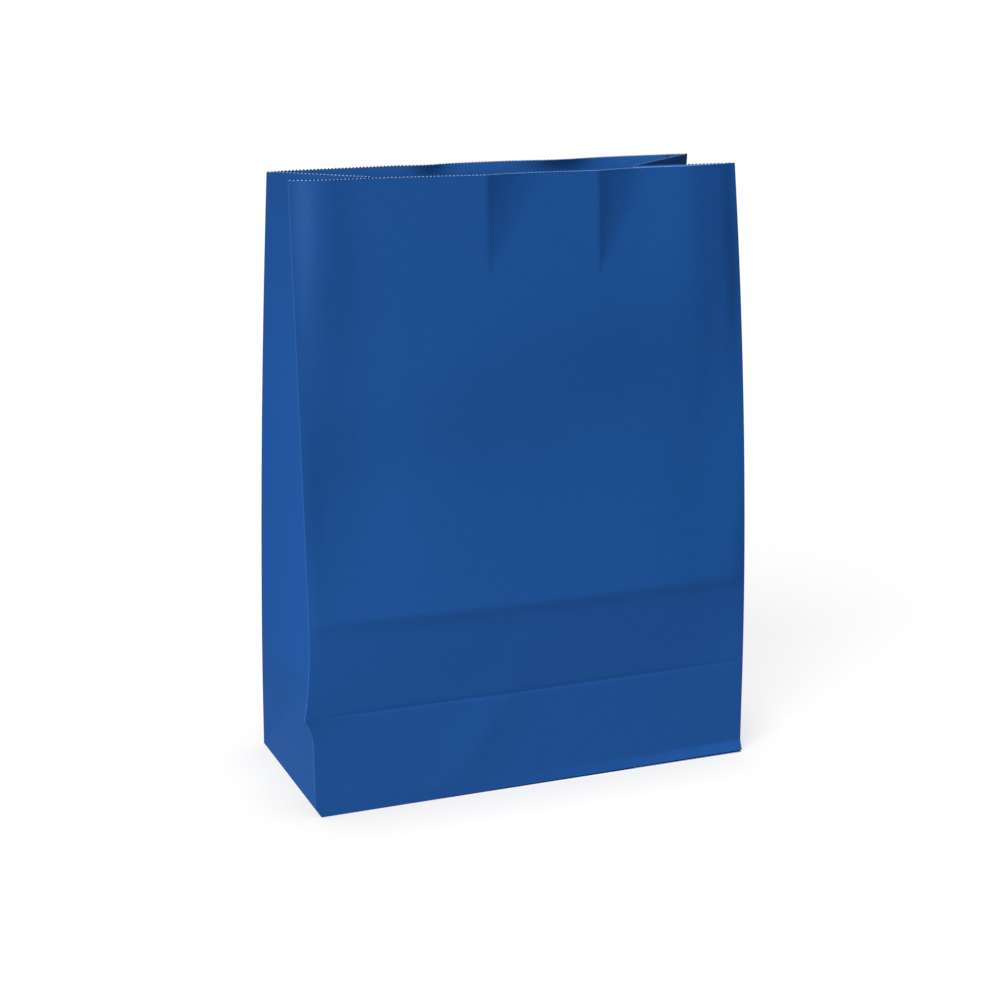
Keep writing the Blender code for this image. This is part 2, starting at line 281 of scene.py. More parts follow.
@dataclass(frozen=True)
class UprightFold:
    """Fold between a wide panel and a gusset, leaning in from its bottom corner to the mouth.

    Attributes:
        side: end of the wide panel that it is at.
        face: wide panel that it belongs to.
        setback: how far it stands behind the bottom fold, above the foot.
        mouth: its distance from the bag's middle plane at the rim.
        start: share of the height at which it starts to lean.
        power: how its lean grows, 1 for a straight line.
        tuck: how far its bottom corner stands inside the panel's full width.
        draw_in: how far it stands inside the panel's full width above the foot.
        sway: how much more it is drawn in at the rim.
        crease_drop: how far the crease is let down on it.
        corner_rise: how far its bottom corner stands up.
        rim_drop: how much lower it ends at the rim.
        pinched: whether the pinch at the crease is on it.
    """

    side: Side
    face: Face
    setback: float
    mouth: float
    start: float
    power: float
    tuck: float
    draw_in: float
    sway: float = 0.0
    crease_drop: float = 0.0
    corner_rise: float = 0.0
    rim_drop: float = 0.0
    pinched: bool = False


@dataclass(frozen=True)
class Dart:
    """Cone-shaped crest in a wide panel: a point at its foot, widest and highest at the rim.

    Attributes:
        face: wide panel that it is in.
        place: distance of its crest to the right of the panel's middle.
        foot: height of its point.
        rise: height of its crest above the panel, at the rim.
        left: its width at the rim on the left of the crest.
        right: its width at the rim on the right of the crest.
        power: how the rise grows towards the rim, 1 for a straight line.
        hollow: how hollow its flanks are, 1 for flat ones.
    """

    face: Face
    place: float
    foot: float
    rise: float
    left: float
    right: float
    power: float
    hollow: float


@dataclass(frozen=True)
class Swell:
    """Round-edged dent or bulge in a wide panel, long in one direction.

    Attributes:
        face: wide panel that it is in.
        across: distance of its middle to the right of the panel's middle.
        up: height of its middle.
        turn: degrees that its long direction is turned anticlockwise from level.
        long: its spread along that direction.
        short: its spread across that direction.
        rise: how far it stands out, less than zero for a dent.
    """

    face: Face
    across: float
    up: float
    turn: float
    long: float
    short: float
    rise: float


@dataclass
class BagSheet:
    """The folded sheet: panels, gussets and folds, from the bottom folds to just under the pinked edge."""

    panel_width: float = 264 * MM
    gusset_width: float = 120 * MM
    panel_height: float = 347.6 * MM
    paper: float = 0.14 * MM
    tooth_depth: float = 0.8 * MM
    foot_length: float = 6.5 * MM
    front_bow: float = 5.1 * MM
    foot_bow: float = 1.2 * MM
    back_bow: float = 3.0 * MM
    crease_dip: float = 0.6 * MM
    crease_groove: float = 0.25 * MM
    groove_reach: float = 1.2 * MM
    pressed_line: float = 110.0 * MM
    pressed_rise: float = 3.3 * MM
    pressed_step: float = 0.7 * MM
    pressed_run: float = 8.0 * MM
    pressed_reach: float = 90.0 * MM
    gusset_crease: float = 45.0 * MM
    gusset_rise: float = 1.5 * MM
    pinch_out: float = 4.6 * MM
    pinch_in: float = -0.8 * MM
    pinch_above: float = 46.0 * MM
    pinch_below: float = 15.0 * MM
    pinch_spread: float = 30.0 * MM
    fold_radius: float = 0.55 * MM
    swell_margin: float = 12.0 * MM
    seam_lap: float = 12.6 * MM
    seam_step: float = 0.06 * MM
    panel_step: float = 3.3 * MM
    closest_step: float = 0.35
    dart_step: float = 0.4
    row_step: float = 3.2 * MM
    near_fold_steps: tuple[float, ...] = (0.0, 0.5, 1.0, 2.2)
    foot_steps: tuple[float, ...] = (2.2 * MM, 3.6 * MM, 5.0 * MM)
    above_foot: float = 1.6 * MM
    pressed_rows: tuple[float, ...] = (-2.4 * MM, -0.8 * MM, 0.8 * MM, 2.4 * MM)
    crease_rows: tuple[float, ...] = (-1.2 * MM, -0.5 * MM, 0.5 * MM, 1.2 * MM)
    steepest: float = 0.25
    widest_tilt: float = 0.9
    rim_drop_power: int = 4
    bottom_zone: float = 0.3 * MM
    sharp: float = 50.0
    aside: float = 1.35 * MM
    name: str = "bag_sheet"
    folds: tuple[UprightFold, ...] = (
        UprightFold(
            Side.LEFT, Face.FRONT, setback=0.0, mouth=37.7 * MM, start=0.02, power=1.31, tuck=1.5 * MM,
            draw_in=-2.0 * MM, crease_drop=3.6 * MM, rim_drop=1.7 * MM, pinched=True,
        ),
        UprightFold(
            Side.RIGHT, Face.FRONT, setback=3.0 * MM, mouth=29.3 * MM, start=0.14, power=1.89, tuck=1.6 * MM,
            draw_in=1.2 * MM, crease_drop=2.8 * MM, corner_rise=1.2 * MM,
        ),
        UprightFold(
            Side.RIGHT, Face.BACK, setback=4.5 * MM, mouth=36.5 * MM, start=0.15, power=1.40, tuck=1.0 * MM,
            draw_in=1.0 * MM, sway=-3.3 * MM,
        ),
        UprightFold(
            Side.LEFT, Face.BACK, setback=0.9 * MM, mouth=19.5 * MM, start=0.01, power=1.71, tuck=1.6 * MM,
            draw_in=1.4 * MM, sway=1.0 * MM,
        ),
    )
    darts: tuple[Dart, ...] = tuple(
        Dart(Face.FRONT, *(size * MM for size in sizes), power, hollow)
        for sizes, power, hollow in (
            ((-25, 290, 5.2, 105, 38), 1.35, 2.0),
            ((40.5, 290, 5.4, 100, 38), 1.0, 2.0),
            ((100, 190, 1.4, 95, 30), 1.0, 1.0),
        )
    )
    swells: tuple[Swell, ...] = tuple(
        Swell(face, across * MM, up * MM, turn, long * MM, short * MM, rise * MM)
        for face, across, up, turn, long, short, rise in (
            (Face.FRONT, -115, 330, 90, 45, 9, 1.8),
            (Face.FRONT, -101, 190, 90, 60, 21, -2.5),
            (Face.FRONT, 99, 318, 90, 48, 17, 2.4),
            (Face.FRONT, 108, 150, 90, 50, 13, -0.8),
            (Face.FRONT, -10, 247, 14, 95, 26, 1.8),
            (Face.FRONT, 0, 300, 0, 110, 42, 3.0),
            (Face.FRONT, -34, 36, 57, 27, 9, 0.9),
            (Face.BACK, 0, 375, 0, 200, 12, 14.0),
            (Face.BACK, -38, 375, 0, 8, 12, -46.0),
            (Face.BACK, 45, 375, 0, 15, 12, -62.0),
        )
    )
    rows: np.ndarray = field(default_factory=lambda: np.zeros(0))
    rim_loop: np.ndarray = field(default_factory=lambda: np.zeros((0, 3)))
    under_rim_loop: np.ndarray = field(default_factory=lambda: np.zeros((0, 3)))
    corners: list[int] = field(default_factory=list)
    shift: Plan = (0.0, 0.0)

    @property
    def knee(self) -> float:
        """Height of the crease where the flat bag's bottom turns up."""
        return self.gusset_width / 2

    @property
    def rim(self) -> float:
        """Height along the paper of the roots of the pinking teeth."""
        return self.panel_height - self.tooth_depth

    def fold(self, side: Side, face: Face) -> UprightFold:
        """The upright fold at that side and face."""
        return next(f for f in self.folds if f.side is side and f.face is face)

    def leaning_depth(self, fold: UprightFold, s: np.ndarray, foot: np.ndarray | float = 1.0) -> np.ndarray:
        """Distance of a fold from the bag's middle plane under its lean alone.

        Args:
            fold: the upright fold.
            s: heights along the paper.
            foot: share of the setback that has taken effect.

        Returns:
            Depths in metres, one for each height.
        """
        lean = np.maximum(0.0, (s / self.panel_height - fold.start) / (1.0 - fold.start)) ** fold.power
        half = self.gusset_width / 2
        return half - fold.setback * foot - (half - fold.setback - fold.mouth) * lean

    def foot(self, s: np.ndarray) -> np.ndarray:
        """0 at the bottom fold, 1 above the foot."""
        return np.clip(s / self.foot_length, 0.0, 1.0)

    def foot_loss(self, fold: UprightFold, s: np.ndarray) -> np.ndarray:
        """Height that the sloping foot of a fold costs."""
        upright = math.sqrt(1.0 - (fold.setback / self.foot_length) ** 2)
        return np.minimum(s, self.foot_length) * (1.0 - upright)

    def creased(self, s: np.ndarray) -> np.ndarray:
        """1 at the crease, 0 at the bottom fold and from the pressed line up."""
        return np.where(s <= self.knee, s / self.knee, peak(s - self.knee, self.pressed_line - self.knee))

    def pinch(self, fold: UprightFold) -> np.ndarray:
        """How far the pinch moves a fold at every row, as rows of x, y, z."""
        moved = np.zeros((len(self.rows), 3))
        if fold.pinched:
            above = self.rows - self.knee
            share = peak(above, np.where(above > 0, self.pinch_above, self.pinch_below)) ** 2
            moved[:, 0] = fold.side.value * self.pinch_out * share
            moved[:, 1] = -fold.face.value * self.pinch_in * share
        return moved

    def climb(self, s: np.ndarray, *others: np.ndarray) -> np.ndarray:
        """Heights reached by a line of paper.

        Args:
            s: lengths along the paper, rising.
            others: the line's two other coordinates at those lengths.

        Returns:
            Height above the start at each length.
        """
        run = sum(np.diff(other) ** 2 for other in others)
        rise = np.sqrt(np.maximum(np.diff(s) ** 2 - run, self.steepest * np.diff(s) ** 2))
        return np.concatenate(([0.0], np.cumsum(rise)))

    def plain_line(self, fold: UprightFold) -> np.ndarray:
        """Points of an upright fold without its pinch at every row, as rows of x, y, z."""
        s = self.rows
        foot = self.foot(s)
        drawn = fold.draw_in * foot + fold.tuck * (1.0 - foot) + fold.sway * s / self.panel_height
        x = fold.side.value * (self.panel_width / 2 - drawn)
        depth = self.leaning_depth(fold, s, foot)
        z = self.climb(s, self.leaning_depth(fold, s)) - self.foot_loss(fold, s)
        z = z - fold.crease_drop * self.creased(s) + fold.corner_rise * peak(s, self.knee)
        z = z - fold.rim_drop * (s / self.panel_height) ** self.rim_drop_power
        return np.stack((x, fold.face.value * depth, z), axis=1)

    def fold_line(self, fold: UprightFold) -> np.ndarray:
        """Points of an upright fold at every row, as rows of x, y, z."""
        return self.plain_line(fold) + self.pinch(fold)

    def gusset_middle(self, side: Side) -> np.ndarray:
        """Points of a gusset's middle fold at every row."""
        s = self.rows
        front, back = self.fold(side, Face.FRONT), self.fold(side, Face.BACK)
        ahead, behind = self.leaning_depth(front, s), self.leaning_depth(back, s)
        half = self.gusset_width / 2
        push = np.sqrt(np.maximum(half**2 - ((ahead + behind) / 2) ** 2, 0.0))
        y = (behind - ahead) / 2
        at_knee = int(np.argmin(np.abs(s - self.knee)))
        tilt = math.asin(min(push[at_knee] / self.knee, self.widest_tilt))
        low = s <= s[at_knee]
        share = s / self.knee
        outside = self.panel_width / 2 - (front.tuck + back.tuck) / 2
        x_low = outside - s * math.sin(tilt)
        draw = (front.draw_in + back.draw_in) / 2 + (front.sway + back.sway) / 2 * s / self.panel_height
        x_high = self.panel_width / 2 - draw - push
        join = x_low[at_knee] - x_high[at_knee]
        x_high = x_high + join * (1.0 - smooth((s - self.knee) / self.knee))
        upper = s[at_knee:]
        z_high = s[at_knee] * math.cos(tilt) + self.climb(upper, push[at_knee:], y[at_knee:])
        z = np.concatenate((s[:at_knee] * math.cos(tilt), z_high))
        x = np.where(low, x_low, x_high)
        return np.stack((side.value * x, np.where(low, y[at_knee] * share, y), z), axis=1)

    def gusset_columns(self, first: UprightFold, last: UprightFold, marks: np.ndarray) -> list[np.ndarray]:
        """Grid columns of a gusset.

        Args:
            first: the upright fold where the gusset starts.
            last: the one where it ends.
            marks: distances of the columns from an upright fold, from 0 to the gusset's middle.

        Returns:
            Columns from the first fold up to, but not including, the last.
        """
        middle = self.gusset_middle(first.side)
        columns = []
        for fold, distances in ((first, marks), (last, marks[::-1][1:-1])):
            line = self.fold_line(fold)
            for distance in distances:
                columns.append(self.gusset_column(fold, line, middle, distance))
            if fold is first:
                columns[-1] = middle.copy()
        return columns

    def gusset_column(
        self, fold: UprightFold, line: np.ndarray, middle: np.ndarray, distance: float
    ) -> np.ndarray:
        """Points of one gusset column.

        Args:
            fold: the upright fold nearest to it.
            line: points of that fold.
            middle: points of the gusset's middle fold.
            distance: how far along the paper the column lies from the upright fold.

        Returns:
            Points at every row. Below the knee they follow the end flap and the flat triangle.
        """
        half = self.gusset_width / 2
        share = distance / half
        points = line + (middle - line) * share
        twin = self.fold(fold.side, Face.BACK if fold.face is Face.FRONT else Face.FRONT)
        corner_x = fold.side.value * (twin.tuck - fold.tuck) / 2
        for i, s in enumerate(self.rows):
            if s >= self.knee - TINY:
                break
            base = middle[i]
            rise = fold.corner_rise * (1.0 - s / half)
            corner = np.array((base[0] + corner_x, fold.face.value * half, base[2] + rise))
            if distance >= s:
                points[i] = corner + (base - corner) * share
            else:
                diagonal = corner + (base - corner) * (s / half)
                points[i] = line[i] + (diagonal - line[i]) * (distance / s)
        arch = 4.0 * share * (1.0 - share)
        s = self.rows
        soft = np.where(s < self.gusset_crease, s, self.pressed_line - s) / self.gusset_crease
        points[:, 0] += fold.side.value * self.gusset_rise * arch * np.clip(soft, 0.0, 1.0)
        return points

    def relief(self, face: Face, across: float) -> np.ndarray:
        """How far a wide panel stands proud of the plane between its folds.

        Args:
            face: front or back panel.
            across: distance to the right of the panel's middle, as seen from the front.

        Returns:
            Distance at every row.
        """
        s = self.rows
        share = across / self.panel_width + 0.5
        arch = 4.0 * share * (1.0 - share)
        if face is Face.FRONT:
            bow = self.foot_bow + (self.front_bow - self.foot_bow) * (s / self.panel_height) ** 2
            inner = 1.0 - (1.0 - arch) ** 3
            rise = np.clip((s - self.knee) / (self.pressed_line - self.knee), 0.0, 1.0)
            rise = np.where(s > self.pressed_line, peak(s - self.pressed_line, self.pressed_reach) ** 2, rise)
            groove = self.crease_groove * peak(s - self.knee, self.groove_reach)
            out = bow * self.foot(s) * arch
            step = self.pressed_step * smooth((s - self.pressed_line) / self.pressed_run + 1.0)
            step = step * (1.0 - smooth((s - self.pressed_line) / self.pressed_reach))
            out = out + inner * (self.pressed_rise * rise - self.crease_dip * self.creased(s) - groove)
            out = out + step * smooth((self.panel_width / 2 - abs(across)) / self.pressed_run)
        else:
            out = self.back_bow * self.foot(s) * arch
        for dart in self.darts:
            if dart.face is face:
                out = out + self.dart_relief(dart, across)
        for swell in self.swells:
            if swell.face is face:
                out = out + self.swell_relief(swell, across)
        return out

    def dart_relief(self, dart: Dart, across: float) -> np.ndarray:
        """Rise of a dart at a distance across the panel."""
        open_share = (self.rows - dart.foot) / (self.panel_height - dart.foot)
        open_share = np.clip(open_share, LEAST_SHARE, 1.0)
        away = across - dart.place
        reach = (dart.left if away < 0 else dart.right) * open_share
        return dart.rise * open_share**dart.power * peak(away, reach) ** dart.hollow

    def swell_relief(self, swell: Swell, across: float) -> np.ndarray:
        """Rise of a swell at a distance across the panel."""
        dx, dz = across - swell.across, self.rows - swell.up
        turn = math.radians(swell.turn)
        along = dx * math.cos(turn) + dz * math.sin(turn)
        aside = dz * math.cos(turn) - dx * math.sin(turn)
        inside = smooth(np.minimum(self.panel_width / 2 - abs(across), self.rows) / self.swell_margin)
        return swell.rise * inside * bell(along, swell.long) * bell(aside, swell.short)

    def panel_columns(self, face: Face, marks: np.ndarray) -> list[np.ndarray]:
        """Grid columns of a wide panel, anticlockwise, without its last mark."""
        first, last = self.fold(Side.LEFT, face), self.fold(Side.RIGHT, face)
        left, right = self.plain_line(first), self.plain_line(last)
        columns = []
        for mark in marks[:-1]:
            across = mark - self.panel_width / 2
            if face is Face.BACK:
                across = -across
            share = across / self.panel_width + 0.5
            points = left + (right - left) * share
            points += self.pinch(first) * peak(share * self.panel_width, self.pinch_spread) ** 2
            points[:, 1] += face.value * self.relief(face, across)
            if face is Face.BACK and mark < self.seam_lap:
                points[:, 1] += self.paper
            columns.append(points)
        return columns

    def near_fold(self) -> np.ndarray:
        """Distances of the extra columns beside an upright fold."""
        return self.fold_radius * np.array(self.near_fold_steps)

    def gusset_marks(self) -> np.ndarray:
        """Distances of the gusset's columns from an upright fold, which are also its rows below the knee."""
        near = self.near_fold()
        low = (*self.foot_steps, self.foot_length, self.foot_length + self.above_foot)
        count = round((self.knee - low[-1]) / self.row_step)
        far = low[-1] + (self.knee - low[-1]) * np.arange(1, count + 1) / count
        return np.concatenate((near, low, far))

    def panel_marks(self, face: Face) -> np.ndarray:
        """Distances of a wide panel's columns from where it starts."""
        near = self.near_fold()
        width = self.panel_width
        count = round(width / self.panel_step)
        even = np.linspace(0.0, width, count + 1)[1:-1]
        extra = [near, width - near, even]
        for dart in self.darts:
            if dart.face is face:
                place = dart.place * (1 if face is Face.FRONT else -1) + width / 2
                extra.append(place + self.dart_step * self.panel_step * np.arange(-3, 4))
        if face is Face.BACK:
            extra.append(self.seam_lap + self.seam_step * np.array((-1.0, 1.0)))
        marks = np.unique(np.round(np.concatenate(extra), DECIMALS))
        keep = [marks[0]]
        firm = set(np.round(np.concatenate(extra[:2] + extra[3:]), DECIMALS))
        for mark in marks[1:]:
            close = mark - keep[-1] < self.closest_step * self.panel_step
            if close and not (mark in firm and keep[-1] in firm):
                if mark in firm:
                    keep[-1] = mark
                continue
            keep.append(mark)
        return np.array(keep)

    def make_rows(self) -> np.ndarray:
        """Heights along the paper of the grid's rows."""
        low = self.gusset_marks()
        top = self.rim
        count = round((top - self.knee) / self.row_step)
        high = self.knee + (top - self.knee) * np.arange(1, count + 1) / count
        near_line = self.pressed_line + np.array(self.pressed_rows)
        near_crease = self.knee + np.array(self.crease_rows)
        return np.unique(np.round(np.concatenate((low, high, near_line, near_crease)), DECIMALS))

    def outline(self) -> tuple[list[np.ndarray], list[int], list[bool]]:
        """Every grid column round the bag, anticlockwise from the front left fold.

        Returns:
            The columns, the numbers of those on the upright folds, and for each column whether the
            cells after it are split along a falling diagonal.
        """
        fl, fr, br, bl = self.folds
        marks = self.gusset_marks()
        half = len(marks) - 1
        columns, corners, falling = [], [], []
        for part, first, last in (
            (self.panel_columns(Face.FRONT, self.panel_marks(Face.FRONT)), None, None),
            (None, fr, br),
            (self.panel_columns(Face.BACK, self.panel_marks(Face.BACK)), None, None),
            (None, bl, fl),
        ):
            corners.append(len(columns))
            if part is None:
                part = self.gusset_columns(first, last, marks)
                falling += [False] * half + [True] * half
            else:
                falling += [False] * len(part)
            columns += part
        return columns, corners, falling

    def rounded(self, columns: list[np.ndarray], corners: list[int]) -> list[np.ndarray]:
        """The same columns with the upright folds rounded to the paper's own small radius."""
        count = len(columns)
        made = [column.copy() for column in columns]
        for k in corners:
            ahead, at, behind = columns[(k + 2) % count], columns[k], columns[k - 2]
            for step, t in ((-1, 0.25), (0, 0.5), (1, 0.75)):
                made[(k + step) % count] = (1 - t) ** 2 * behind + 2 * t * (1 - t) * at + t * t * ahead
        return made

    def build(self, materials: list[bpy.types.Material]) -> bpy.types.Object:
        """Make the sheet.

        Args:
            materials: outside, inside and cut edge, in that order.

        Returns:
            Object of the sheet with its thickness.
        """
        self.rows = self.make_rows()
        columns, corners, falling = self.outline()
        columns = self.rounded(columns, corners)
        grid = np.stack(columns, axis=1)
        low, high = grid.min(axis=(0, 1)), grid.max(axis=(0, 1))
        self.shift = (self.aside, -(low[1] + high[1]) / 2)
        grid += (*self.shift, 2 * self.paper)
        self.rim_loop = grid[-1].copy()
        self.under_rim_loop = grid[-2].copy()
        self.corners = corners

        height, width = grid.shape[:2]
        faces = []
        for r in range(height - 1):
            for c in range(width):
                d = (c + 1) % width
                a, b = r * width + c, r * width + d
                e, f = a + width, b + width
                faces += [(a, b, e), (b, f, e)] if falling[c] else [(a, b, f), (a, f, e)]
        mesh = bpy.data.meshes.new(self.name)
        mesh.from_pydata(grid.reshape(-1, 3).tolist(), [], faces)
        mesh.shade_smooth()
        self.add_wear_and_highlight(mesh, corners, width, height)
        for material in materials:
            mesh.materials.append(material)
        made = placed(self.name, mesh)

        thickness = made.modifiers.new("thickness", "SOLIDIFY")
        thickness.thickness = self.paper
        thickness.offset = -1.0
        thickness.material_offset = Zone.INSIDE.value
        thickness.material_offset_rim = Zone.CUT.value
        plain = applied(made)
        plain.data.set_sharp_from_angle(angle=math.radians(self.sharp))
        for polygon in plain.data.polygons:
            if polygon.center.z < self.bottom_zone:
                polygon.material_index = Zone.OUTSIDE.value
        LOG.info("%s: %d rows by %d columns", self.name, height, width)
        return plain

    def add_wear_and_highlight(self, mesh: bpy.types.Mesh, corners: list[int], width: int, height: int) -> None:
        """Store how much wear and painted highlight each point gets: strongest on the upright folds."""
        # Mask of wear and painted highlight: 1 on each upright fold, 0.5 on the columns beside it.
        wear = np.zeros((height, width), dtype=np.float32)
        for k in corners:
            for step, amount in ((-1, 0.5), (0, 1.0), (1, 0.5)):
                wear[:, (k + step) % width] = amount
        layer = mesh.attributes.new("fold_wear", "FLOAT", "POINT")
        layer.data.foreach_set("value", wear.reshape(-1))


def placed(name: str, data: bpy.types.ID) -> bpy.types.Object:
    """A new object in the scene that holds that data."""
    made = bpy.data.objects.new(name, data)
    bpy.context.scene.collection.objects.link(made)
    return made


def applied(made: bpy.types.Object) -> bpy.types.Object:
    """The object with its modifiers turned into plain mesh."""
    bpy.context.view_layer.update()
    depsgraph = bpy.context.evaluated_depsgraph_get()
    mesh = bpy.data.meshes.new_from_object(made.evaluated_get(depsgraph))
    made.modifiers.clear()
    old = made.data
    made.data = mesh
    bpy.data.meshes.remove(old)
    mesh.name = made.name
    return made


@dataclass
class PinkedEdge:
    """Teeth left along the rim by the toothed knife, repeated by Geometry Nodes."""

    pitch: float = 2.1 * MM
    bevel: float = 0.08 * MM
    torn: float = 0.5
    unevenness: float = 0.12
    seed: int = 4
    name: str = "pinked_edge"

    def tooth(self, depth: float, paper: float) -> bpy.types.Object:
        """One tooth: blue, with a pale torn tip.

        Args:
            depth: height of a tooth.
            paper: thickness of the sheet.

        Returns:
            Helper object that the node tree repeats. The outer face looks along -Y.
        """
        half = self.pitch / 2
        shape = bmesh.new()
        cut = shape.faces.layers.int.new("cut")
        rings = []
        for y, shrink in ((0.0, self.bevel), (paper / 2, 0.0), (paper, self.bevel)):
            slant = shrink * math.hypot(half, depth) / half
            side = shrink * math.hypot(half, depth) / depth
            width, height = half - side, depth - slant
            at = 1.0 - self.torn
            outline = ((-width, 0.0), (width, 0.0), (width * (1 - at), height * at))
            outline += ((0.0, height), (-width * (1 - at), height * at))
            rings.append([shape.verts.new((x, y, z)) for x, z in outline])
        front, middle, back = rings
        shape.faces.new((front[0], front[1], front[2], front[4]))
        shape.faces.new((front[4], front[2], front[3]))[cut] = 1
        shape.faces.new(back[::-1])
        for near, far in ((front, middle), (middle, back)):
            sides = len(near)
            for i in range(sides):
                j = (i + 1) % sides
                face = shape.faces.new((near[j], near[i], far[i], far[j]))
                face[cut] = near is front and i in (2, 3)
        mesh = bpy.data.meshes.new("tooth")
        shape.to_mesh(mesh)
        shape.free()
        return placed("tooth", mesh)

    def tree(self) -> bpy.types.NodeTree:
        """Node tree that sets a tooth on every point, turned by the point's own directions."""
        group = bpy.data.node_groups.new("teeth_on_points", "GeometryNodeTree")
        for label, kind in (
            ("Points", "Geometry"),
            ("Tooth", "Object"),
            ("Blue paper", "Material"),
            ("Cut edge", "Material"),
            ("Unevenness", "Float"),
            ("Seed", "Int"),
        ):
            group.interface.new_socket(label, in_out="INPUT", socket_type=f"NodeSocket{kind}")
        group.interface.new_socket("Teeth", in_out="OUTPUT", socket_type="NodeSocketGeometry")
        make = NodeTree(group)
        given = make.add("NodeGroupInput")
        up = make.add("GeometryNodeInputNamedAttribute", {"Name": "up"}, data_type="FLOAT_VECTOR")
        along = make.add("GeometryNodeInputNamedAttribute", {"Name": "along"}, data_type="FLOAT_VECTOR")
        turn = make.add(
            "FunctionNodeAxesToRotation",
            {0: up.outputs["Attribute"], 1: along.outputs["Attribute"]},
            primary_axis="Z",
            secondary_axis="X",
        )
        points = make.add("GeometryNodeMeshToPoints", {"Mesh": given.outputs["Points"]})
        shape = make.add("GeometryNodeObjectInfo", {"Object": given.outputs["Tooth"]})
        least = make.math("SUBTRACT", 1.0, given.outputs["Unevenness"])
        size = make.add(
            "FunctionNodeRandomValue",
            {2: least, 3: 1.0, "Seed": given.outputs["Seed"]},
            data_type="FLOAT",
        )
        scale = make.add("ShaderNodeCombineXYZ", {"X": 1.0, "Y": 1.0, "Z": size.outputs[1]})
        rows = make.add(
            "GeometryNodeInstanceOnPoints",
            {
                "Points": points.outputs["Points"],
                "Instance": shape.outputs["Geometry"],
                "Rotation": turn.outputs[0],
                "Scale": scale.outputs[0],
            },
        )
        real = make.add("GeometryNodeRealizeInstances", {"Geometry": rows.outputs["Instances"]})
        blue = make.add(
            "GeometryNodeSetMaterial",
            {"Geometry": real.outputs["Geometry"], "Material": given.outputs["Blue paper"]},
        )
        cut = make.add("GeometryNodeInputNamedAttribute", {"Name": "cut"}, data_type="BOOLEAN")
        pale = make.add(
            "GeometryNodeSetMaterial",
            {
                "Geometry": blue.outputs["Geometry"],
                "Selection": cut.outputs["Attribute"],
                "Material": given.outputs["Cut edge"],
            },
        )
        out = make.add("NodeGroupOutput")
        make.join(pale.outputs["Geometry"], out.inputs["Teeth"])
        return group

    def points(self, sheet: BagSheet) -> bpy.types.Object:
        """Loose points along the rim, one for each tooth, holding their two directions."""
        loop, below = sheet.rim_loop, sheet.under_rim_loop
        count = len(loop)
        half = len(sheet.gusset_marks()) - 1
        middles = [sheet.corners[1] + half, sheet.corners[3] + half]
        stops = sorted(sheet.corners + middles) + [count]
        places, ups, alongs = [], [], []
        for start, end in zip(stops, stops[1:]):
            run = np.array([loop[i % count] for i in range(start, end + 1)])
            rise = run - np.array([below[i % count] for i in range(start, end + 1)])
            lengths = np.concatenate(([0.0], np.cumsum(np.linalg.norm(np.diff(run, axis=0), axis=1))))
            teeth = max(1, round(lengths[-1] / self.pitch))
            at = (np.arange(teeth) + 0.5) * lengths[-1] / teeth
            place = np.stack([np.interp(at, lengths, run[:, k]) for k in range(3)], axis=1)
            ahead = np.stack([np.interp(at + self.pitch / 4, lengths, run[:, k]) for k in range(3)], axis=1)
            up = np.stack([np.interp(at, lengths, rise[:, k]) for k in range(3)], axis=1)
            along = ahead - place
            places.append(place)
            ups.append(up / np.linalg.norm(up, axis=1, keepdims=True))
            alongs.append(along / np.linalg.norm(along, axis=1, keepdims=True))
        mesh = bpy.data.meshes.new("tooth_points")
        mesh.from_pydata(np.concatenate(places).tolist(), [], [])
        for label, rows in (("up", ups), ("along", alongs)):
            layer = mesh.attributes.new(label, "FLOAT_VECTOR", "POINT")
            layer.data.foreach_set("vector", np.concatenate(rows).astype(np.float32).reshape(-1))
        return placed(self.name, mesh)

    def build(self, sheet: BagSheet, blue: bpy.types.Material, cut: bpy.types.Material) -> bpy.types.Object:
        """Make the row of teeth round the rim.

        Args:
            sheet: the finished sheet, whose rim carries the teeth.
            blue: finish of the teeth's flat faces.
            cut: finish of their cut sides.

        Returns:
            Plain mesh object of every tooth.
        """
        made = self.points(sheet)
        tooth = self.tooth(sheet.tooth_depth, sheet.paper)
        group = self.tree()
        modifier = made.modifiers.new("teeth", "NODES")
        modifier.node_group = group
        values = {
            "Tooth": tooth,
            "Blue paper": blue,
            "Cut edge": cut,
            "Unevenness": self.unevenness,
            "Seed": self.seed,
        }
        for item in group.interface.items_tree:
            if item.name in values:
                modifier[item.identifier] = values[item.name]
        plain = applied(made)
        bpy.data.objects.remove(tooth)
        LOG.info("%s: %d faces", self.name, len(plain.data.polygons))
        return plain


